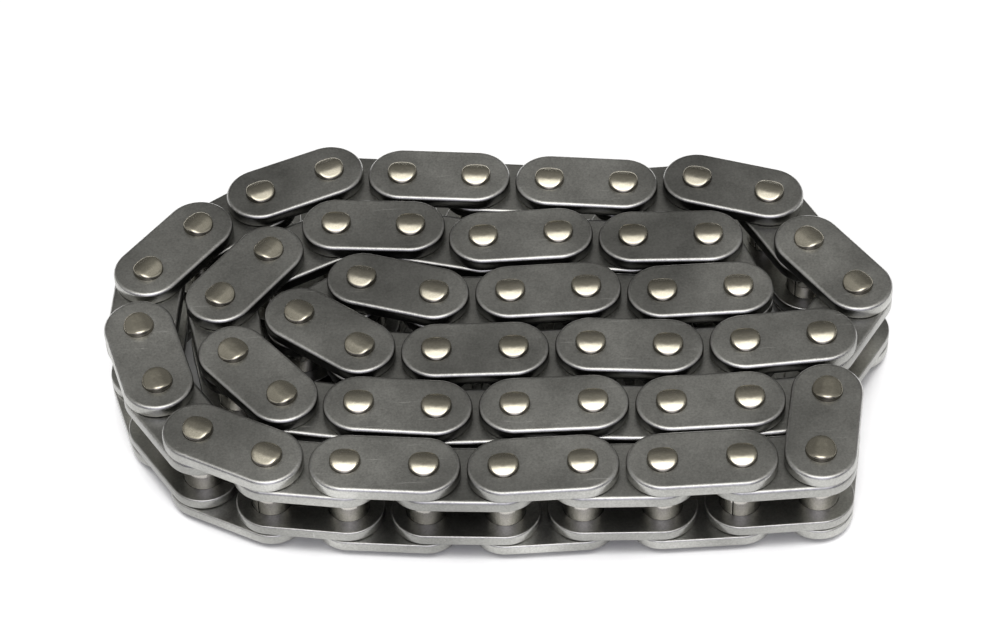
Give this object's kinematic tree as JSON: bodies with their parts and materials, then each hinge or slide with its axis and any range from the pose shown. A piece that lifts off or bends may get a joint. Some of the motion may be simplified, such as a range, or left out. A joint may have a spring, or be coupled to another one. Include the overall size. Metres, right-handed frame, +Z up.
{
  "type": "timing chain",
  "caption": "Endless steel bush chain of plates, riveted pins and curled bushes that drives a camshaft, lying folded on its side.",
  "frame": {"origin": "centre of the folded chain's outline, at the underside of the lower pin heads", "axes": "+X along the long way of the fold, +Y across it towards the back strand, +Z up along the pins"},
  "size_m": [0.0986, 0.0594, 0.0136],
  "materials": {
    "outer_link_steel": "tumbled, lightly oiled",
    "inner_link_steel": "tumbled, lightly oiled",
    "pin_steel": "hardened, ground, staked ends",
    "bush_steel": "curled, satin"
  },
  "bodies": {
    "outer_link_01": {"outer_link_01": "outer_link_steel"},
    "inner_link_01": {"inner_link_01": "inner_link_steel"},
    "outer_link_02": {"outer_link_02": "outer_link_steel"},
    "inner_link_02": {"inner_link_02": "inner_link_steel"},
    "outer_link_03": {"outer_link_03": "outer_link_steel"},
    "inner_link_03": {"inner_link_03": "inner_link_steel"},
    "outer_link_04": {"outer_link_04": "outer_link_steel"},
    "inner_link_04": {"inner_link_04": "inner_link_steel"},
    "outer_link_05": {"outer_link_05": "outer_link_steel"},
    "inner_link_05": {"inner_link_05": "inner_link_steel"},
    "outer_link_06": {"outer_link_06": "outer_link_steel"},
    "inner_link_06": {"inner_link_06": "inner_link_steel"},
    "outer_link_07": {"outer_link_07": "outer_link_steel"},
    "inner_link_07": {"inner_link_07": "inner_link_steel"},
    "outer_link_08": {"outer_link_08": "outer_link_steel"},
    "inner_link_08": {"inner_link_08": "inner_link_steel"},
    "outer_link_09": {"outer_link_09": "outer_link_steel"},
    "inner_link_09": {"inner_link_09": "inner_link_steel"},
    "outer_link_10": {"outer_link_10": "outer_link_steel"},
    "inner_link_10": {"inner_link_10": "inner_link_steel"},
    "closing_outer_link": {"closing_plate_top": "outer_link_steel", "closing_plate_bottom": "outer_link_steel", "closing_pin_left": "pin_steel", "closing_pin_right": "pin_steel"},
    "closing_inner_link": {"next_plate_top": "inner_link_steel", "next_plate_bottom": "inner_link_steel", "next_bush_left": "bush_steel", "next_bush_right": "bush_steel"},
    "outer_link_12": {"outer_link_12": "outer_link_steel"},
    "inner_link_12": {"inner_link_12": "inner_link_steel"},
    "outer_link_13": {"outer_link_13": "outer_link_steel"},
    "inner_link_13": {"inner_link_13": "inner_link_steel"},
    "outer_link_14": {"outer_link_14": "outer_link_steel"},
    "inner_link_14": {"inner_link_14": "inner_link_steel"},
    "outer_link_15": {"outer_link_15": "outer_link_steel"},
    "inner_link_15": {"inner_link_15": "inner_link_steel"},
    "outer_link_16": {"outer_link_16": "outer_link_steel"},
    "inner_link_16": {"inner_link_16": "inner_link_steel"},
    "outer_link_17": {"outer_link_17": "outer_link_steel"},
    "inner_link_17": {"inner_link_17": "inner_link_steel"},
    "outer_link_18": {"outer_link_18": "outer_link_steel"},
    "inner_link_18": {"inner_link_18": "inner_link_steel"},
    "outer_link_19": {"outer_link_19": "outer_link_steel"},
    "inner_link_19": {"inner_link_19": "inner_link_steel"},
    "outer_link_20": {"outer_link_20": "outer_link_steel"},
    "inner_link_20": {"inner_link_20": "inner_link_steel"},
    "outer_link_21": {"outer_link_21": "outer_link_steel"},
    "inner_link_21": {"inner_link_21": "inner_link_steel"},
    "outer_link_22": {"outer_link_22": "outer_link_steel"},
    "inner_link_22": {"inner_link_22": "inner_link_steel"},
    "outer_link_23": {"outer_link_23": "outer_link_steel"},
    "inner_link_23": {"inner_link_23": "inner_link_steel"},
    "outer_link_24": {"outer_link_24": "outer_link_steel"},
    "inner_link_24": {"inner_link_24": "inner_link_steel"},
    "outer_link_25": {"outer_link_25": "outer_link_steel"},
    "inner_link_25": {"inner_link_25": "inner_link_steel"},
    "outer_link_26": {"outer_link_26": "outer_link_steel"},
    "inner_link_26": {"inner_link_26": "inner_link_steel"},
    "outer_link_27": {"outer_link_27": "outer_link_steel"},
    "inner_link_27": {"inner_link_27": "inner_link_steel"}
  },
  "joints": [
    {"name": "pivot_49", "type": "hinge", "parent": "inner_link_24", "child": "outer_link_25", "pos_m": [0.00719, 0.02199, 0.0068], "axis": [0, 0, 1], "range_deg": [-2.14, 0]},
    {"name": "pivot_50", "type": "hinge", "parent": "outer_link_25", "child": "inner_link_25", "pos_m": [0.01664, 0.02083, 0.0068], "axis": [0, 0, 1], "range_deg": [-2.4, 0]},
    {"name": "pivot_51", "type": "hinge", "parent": "inner_link_25", "child": "outer_link_26", "pos_m": [0.02616, 0.02116, 0.0068], "axis": [0, 0, 1], "range_deg": [-1.63, 0]},
    {"name": "pivot_52", "type": "hinge", "parent": "outer_link_26", "child": "inner_link_26", "pos_m": [0.03517, 0.01806, 0.0068], "axis": [0, 0, 1], "range_deg": [0, 2.35]},
    {"name": "pivot_53", "type": "hinge", "parent": "inner_link_26", "child": "outer_link_27", "pos_m": [0.03949, 0.00957, 0.0068], "axis": [0, 0, 1], "range_deg": [0, 3.7]},
    {"name": "pivot_54", "type": "hinge", "parent": "outer_link_27", "child": "inner_link_27", "pos_m": [0.04487, 0.00172, 0.0068], "axis": [0, 0, 1], "range_deg": [0, 3.02]},
    {"name": "pivot_01", "type": "hinge", "parent": "inner_link_27", "child": "outer_link_01", "pos_m": [0.03963, -0.00624, 0.0068], "axis": [0, 0, 1], "range_deg": [-5.91, 0]},
    {"name": "pivot_02", "type": "hinge", "parent": "outer_link_01", "child": "inner_link_01", "pos_m": [0.03013, -0.0069, 0.0068], "axis": [0, 0, 1], "range_deg": [0, 1.51]},
    {"name": "pivot_03", "type": "hinge", "parent": "inner_link_01", "child": "outer_link_02", "pos_m": [0.02061, -0.00707, 0.0068], "axis": [0, 0, 1], "range_deg": [0, 1.5]},
    {"name": "pivot_04", "type": "hinge", "parent": "outer_link_02", "child": "inner_link_02", "pos_m": [0.01112, -0.00624, 0.0068], "axis": [0, 0, 1], "range_deg": [0, 1.53]},
    {"name": "pivot_05", "type": "hinge", "parent": "inner_link_02", "child": "outer_link_03", "pos_m": [0.0016, -0.0064, 0.0068], "axis": [0, 0, 1], "range_deg": [0, 1.51]},
    {"name": "pivot_06", "type": "hinge", "parent": "outer_link_03", "child": "inner_link_03", "pos_m": [-0.00793, -0.00624, 0.0068], "axis": [0, 0, 1], "range_deg": [0, 1.48]},
    {"name": "pivot_07", "type": "hinge", "parent": "inner_link_03", "child": "outer_link_04", "pos_m": [-0.01738, -0.00508, 0.0068], "axis": [0, 0, 1], "range_deg": [0, 1.3]},
    {"name": "pivot_08", "type": "hinge", "parent": "outer_link_04", "child": "inner_link_04", "pos_m": [-0.02489, 0.00079, 0.0068], "axis": [0, 0, 1], "range_deg": [0, 1.31]},
    {"name": "pivot_09", "type": "hinge", "parent": "inner_link_04", "child": "outer_link_05", "pos_m": [-0.01709, 0.00625, 0.0068], "axis": [0, 0, 1], "range_deg": [-1.08, 0]},
    {"name": "pivot_10", "type": "hinge", "parent": "outer_link_05", "child": "inner_link_05", "pos_m": [-0.00803, 0.00331, 0.0068], "axis": [0, 0, 1], "range_deg": [-3.12, 0]},
    {"name": "pivot_11", "type": "hinge", "parent": "inner_link_05", "child": "outer_link_06", "pos_m": [0.00149, 0.00298, 0.0068], "axis": [0, 0, 1], "range_deg": [-1.52, 0]},
    {"name": "pivot_12", "type": "hinge", "parent": "outer_link_06", "child": "inner_link_06", "pos_m": [0.01102, 0.00314, 0.0068], "axis": [0, 0, 1], "range_deg": [-1.46, 0]},
    {"name": "pivot_13", "type": "hinge", "parent": "inner_link_06", "child": "outer_link_07", "pos_m": [0.02047, 0.00198, 0.0068], "axis": [0, 0, 1], "range_deg": [-1.89, 0]},
    {"name": "pivot_14", "type": "hinge", "parent": "outer_link_07", "child": "inner_link_07", "pos_m": [0.02999, 0.00215, 0.0068], "axis": [0, 0, 1], "range_deg": [-6.29, 0]},
    {"name": "pivot_15", "type": "hinge", "parent": "inner_link_07", "child": "outer_link_08", "pos_m": [0.02689, 0.01115, 0.0068], "axis": [0, 0, 1], "range_deg": [0, 5.01]},
    {"name": "pivot_16", "type": "hinge", "parent": "outer_link_08", "child": "inner_link_08", "pos_m": [0.01737, 0.01149, 0.0068], "axis": [0, 0, 1], "range_deg": [0, 1.56]},
    {"name": "pivot_17", "type": "hinge", "parent": "inner_link_08", "child": "outer_link_09", "pos_m": [0.00792, 0.01265, 0.0068], "axis": [0, 0, 1], "range_deg": [0, 2.13]},
    {"name": "pivot_18", "type": "hinge", "parent": "outer_link_09", "child": "inner_link_09", "pos_m": [-0.00161, 0.01248, 0.0068], "axis": [0, 0, 1], "range_deg": [0, 1.47]},
    {"name": "pivot_19", "type": "hinge", "parent": "inner_link_09", "child": "outer_link_10", "pos_m": [-0.01081, 0.01494, 0.0068], "axis": [0, 0, 1], "range_deg": [0, 4.53]},
    {"name": "pivot_20", "type": "hinge", "parent": "outer_link_10", "child": "inner_link_10", "pos_m": [-0.02029, 0.01578, 0.0068], "axis": [0, 0, 1], "range_deg": [-1.35, 0]},
    {"name": "pivot_21", "type": "hinge", "parent": "inner_link_10", "child": "closing_outer_link", "pos_m": [-0.02885, 0.0116, 0.0068], "axis": [0, 0, 1], "range_deg": [-11.23, 0]},
    {"name": "pivot_48", "type": "hinge", "parent": "inner_link_24", "child": "outer_link_24", "pos_m": [-0.00227, 0.02315, 0.0068], "axis": [0, 0, 1], "range_deg": [0, 2.07]},
    {"name": "pivot_47", "type": "hinge", "parent": "outer_link_24", "child": "inner_link_23", "pos_m": [-0.01174, 0.02414, 0.0068], "axis": [0, 0, 1], "range_deg": [0, 2.18]},
    {"name": "pivot_46", "type": "hinge", "parent": "inner_link_23", "child": "outer_link_23", "pos_m": [-0.02119, 0.02531, 0.0068], "axis": [0, 0, 1], "range_deg": [-4.58, 0]},
    {"name": "pivot_45", "type": "hinge", "parent": "outer_link_23", "child": "inner_link_22", "pos_m": [-0.03003, 0.02174, 0.0068], "axis": [0, 0, 1], "range_deg": [0, 2.13]},
    {"name": "pivot_44", "type": "hinge", "parent": "inner_link_22", "child": "outer_link_22", "pos_m": [-0.03792, 0.01641, 0.0068], "axis": [0, 0, 1], "range_deg": [-3.83, 0]},
    {"name": "fold_out", "type": "hinge", "parent": "outer_link_22", "child": "inner_link_21", "pos_m": [-0.04405, 0.00911, 0.0068], "axis": [0, 0, -1], "range_deg": [0, 44.71]},
    {"name": "pivot_42", "type": "hinge", "parent": "inner_link_21", "child": "outer_link_21", "pos_m": [-0.04487, -0.00037, 0.0068], "axis": [0, 0, 1], "range_deg": [0, 34.08]},
    {"name": "pivot_41", "type": "hinge", "parent": "outer_link_21", "child": "inner_link_20", "pos_m": [-0.04225, -0.00953, 0.0068], "axis": [0, 0, 1], "range_deg": [-6.03, 0]},
    {"name": "pivot_40", "type": "hinge", "parent": "inner_link_20", "child": "outer_link_20", "pos_m": [-0.03706, -0.01752, 0.0068], "axis": [0, 0, 1], "range_deg": [0, 8.08]},
    {"name": "pivot_39", "type": "hinge", "parent": "outer_link_20", "child": "inner_link_19", "pos_m": [-0.02865, -0.02199, 0.0068], "axis": [0, 0, 1], "range_deg": [-19.11, 0]},
    {"name": "pivot_38", "type": "hinge", "parent": "inner_link_19", "child": "outer_link_19", "pos_m": [-0.01924, -0.02348, 0.0068], "axis": [0, 0, 1], "range_deg": [-6.31, 0]},
    {"name": "pivot_37", "type": "hinge", "parent": "outer_link_19", "child": "inner_link_18", "pos_m": [-0.00977, -0.02448, 0.0068], "axis": [0, 0, 1], "range_deg": [-4.37, 0]},
    {"name": "pivot_36", "type": "hinge", "parent": "inner_link_18", "child": "outer_link_18", "pos_m": [-0.00027, -0.02514, 0.0068], "axis": [0, 0, 1], "range_deg": [-4.42, 0]},
    {"name": "pivot_35", "type": "hinge", "parent": "outer_link_18", "child": "inner_link_17", "pos_m": [0.00925, -0.02497, 0.0068], "axis": [0, 0, 1], "range_deg": [-4.72, 0]},
    {"name": "pivot_34", "type": "hinge", "parent": "inner_link_17", "child": "outer_link_17", "pos_m": [0.01877, -0.02531, 0.0068], "axis": [0, 0, 1], "range_deg": [-3.73, 0]},
    {"name": "pivot_33", "type": "hinge", "parent": "outer_link_17", "child": "inner_link_16", "pos_m": [0.0283, -0.02514, 0.0068], "axis": [0, 0, 1], "range_deg": [-4.58, 0]},
    {"name": "pivot_32", "type": "hinge", "parent": "inner_link_16", "child": "outer_link_16", "pos_m": [0.03782, -0.02481, 0.0068], "axis": [0, 0, 1], "range_deg": [0, 10.64]},
    {"name": "pivot_31", "type": "hinge", "parent": "outer_link_16", "child": "inner_link_15", "pos_m": [0.03947, -0.01543, 0.0068], "axis": [0, 0, 1], "range_deg": [-9.44, 0]},
    {"name": "pivot_30", "type": "hinge", "parent": "inner_link_15", "child": "outer_link_15", "pos_m": [0.02997, -0.01609, 0.0068], "axis": [0, 0, 1], "range_deg": [0, 3.52]},
    {"name": "pivot_29", "type": "hinge", "parent": "outer_link_15", "child": "inner_link_14", "pos_m": [0.02045, -0.01626, 0.0068], "axis": [0, 0, 1], "range_deg": [0, 4.37]},
    {"name": "pivot_28", "type": "hinge", "parent": "inner_link_14", "child": "outer_link_14", "pos_m": [0.01094, -0.01559, 0.0068], "axis": [0, 0, 1], "range_deg": [0, 3.39]},
    {"name": "pivot_27", "type": "hinge", "parent": "outer_link_14", "child": "inner_link_13", "pos_m": [0.00142, -0.01559, 0.0068], "axis": [0, 0, 1], "range_deg": [0, 3.51]},
    {"name": "pivot_26", "type": "hinge", "parent": "inner_link_13", "child": "outer_link_13", "pos_m": [-0.00811, -0.01543, 0.0068], "axis": [0, 0, 1], "range_deg": [0, 3.97]},
    {"name": "pivot_25", "type": "hinge", "parent": "outer_link_13", "child": "inner_link_12", "pos_m": [-0.01756, -0.01427, 0.0068], "axis": [0, 0, 1], "range_deg": [0, 5.46]},
    {"name": "pivot_24", "type": "hinge", "parent": "inner_link_12", "child": "outer_link_12", "pos_m": [-0.02691, -0.01245, 0.0068], "axis": [0, 0, 1], "range_deg": [0, 10.76]},
    {"name": "pivot_23", "type": "hinge", "parent": "outer_link_12", "child": "closing_inner_link", "pos_m": [-0.03303, -0.00515, 0.0068], "axis": [0, 0, 1], "range_deg": [0, 9.78]}
  ],
  "couplings": [
    {"joint": "pivot_49", "follows": "fold_out", "ratio": -0.047892},
    {"joint": "pivot_50", "follows": "fold_out", "ratio": -0.053685},
    {"joint": "pivot_51", "follows": "fold_out", "ratio": -0.036456},
    {"joint": "pivot_52", "follows": "fold_out", "ratio": 0.052516},
    {"joint": "pivot_53", "follows": "fold_out", "ratio": 0.082625},
    {"joint": "pivot_54", "follows": "fold_out", "ratio": 0.06762},
    {"joint": "pivot_01", "follows": "fold_out", "ratio": -0.13204},
    {"joint": "pivot_02", "follows": "fold_out", "ratio": 0.03382},
    {"joint": "pivot_03", "follows": "fold_out", "ratio": 0.033543},
    {"joint": "pivot_04", "follows": "fold_out", "ratio": 0.03415},
    {"joint": "pivot_05", "follows": "fold_out", "ratio": 0.033674},
    {"joint": "pivot_06", "follows": "fold_out", "ratio": 0.033079},
    {"joint": "pivot_07", "follows": "fold_out", "ratio": 0.029007},
    {"joint": "pivot_08", "follows": "fold_out", "ratio": 0.029287},
    {"joint": "pivot_09", "follows": "fold_out", "ratio": -0.024183},
    {"joint": "pivot_10", "follows": "fold_out", "ratio": -0.069815},
    {"joint": "pivot_11", "follows": "fold_out", "ratio": -0.033967},
    {"joint": "pivot_12", "follows": "fold_out", "ratio": -0.032648},
    {"joint": "pivot_13", "follows": "fold_out", "ratio": -0.042315},
    {"joint": "pivot_14", "follows": "fold_out", "ratio": -0.14051},
    {"joint": "pivot_15", "follows": "fold_out", "ratio": 0.11196},
    {"joint": "pivot_16", "follows": "fold_out", "ratio": 0.034829},
    {"joint": "pivot_17", "follows": "fold_out", "ratio": 0.047558},
    {"joint": "pivot_18", "follows": "fold_out", "ratio": 0.032803},
    {"joint": "pivot_19", "follows": "fold_out", "ratio": 0.10129},
    {"joint": "pivot_20", "follows": "fold_out", "ratio": -0.030128},
    {"joint": "pivot_21", "follows": "fold_out", "ratio": -0.25109},
    {"joint": "pivot_48", "follows": "fold_out", "ratio": 0.046251},
    {"joint": "pivot_47", "follows": "fold_out", "ratio": 0.048655},
    {"joint": "pivot_46", "follows": "fold_out", "ratio": -0.10242},
    {"joint": "pivot_45", "follows": "fold_out", "ratio": 0.047723},
    {"joint": "pivot_44", "follows": "fold_out", "ratio": -0.085517},
    {"joint": "pivot_42", "follows": "fold_out", "ratio": 0.76191},
    {"joint": "pivot_41", "follows": "fold_out", "ratio": -0.13468},
    {"joint": "pivot_40", "follows": "fold_out", "ratio": 0.18071},
    {"joint": "pivot_39", "follows": "fold_out", "ratio": -0.4272},
    {"joint": "pivot_38", "follows": "fold_out", "ratio": -0.14114},
    {"joint": "pivot_37", "follows": "fold_out", "ratio": -0.09772},
    {"joint": "pivot_36", "follows": "fold_out", "ratio": -0.098826},
    {"joint": "pivot_35", "follows": "fold_out", "ratio": -0.10553},
    {"joint": "pivot_34", "follows": "fold_out", "ratio": -0.083427},
    {"joint": "pivot_33", "follows": "fold_out", "ratio": -0.10235},
    {"joint": "pivot_32", "follows": "fold_out", "ratio": 0.23774},
    {"joint": "pivot_31", "follows": "fold_out", "ratio": -0.21097},
    {"joint": "pivot_30", "follows": "fold_out", "ratio": 0.078763},
    {"joint": "pivot_29", "follows": "fold_out", "ratio": 0.097612},
    {"joint": "pivot_28", "follows": "fold_out", "ratio": 0.075844},
    {"joint": "pivot_27", "follows": "fold_out", "ratio": 0.078433},
    {"joint": "pivot_26", "follows": "fold_out", "ratio": 0.088778},
    {"joint": "pivot_25", "follows": "fold_out", "ratio": 0.12204},
    {"joint": "pivot_24", "follows": "fold_out", "ratio": 0.24055},
    {"joint": "pivot_23", "follows": "fold_out", "ratio": 0.21864}
  ]
}
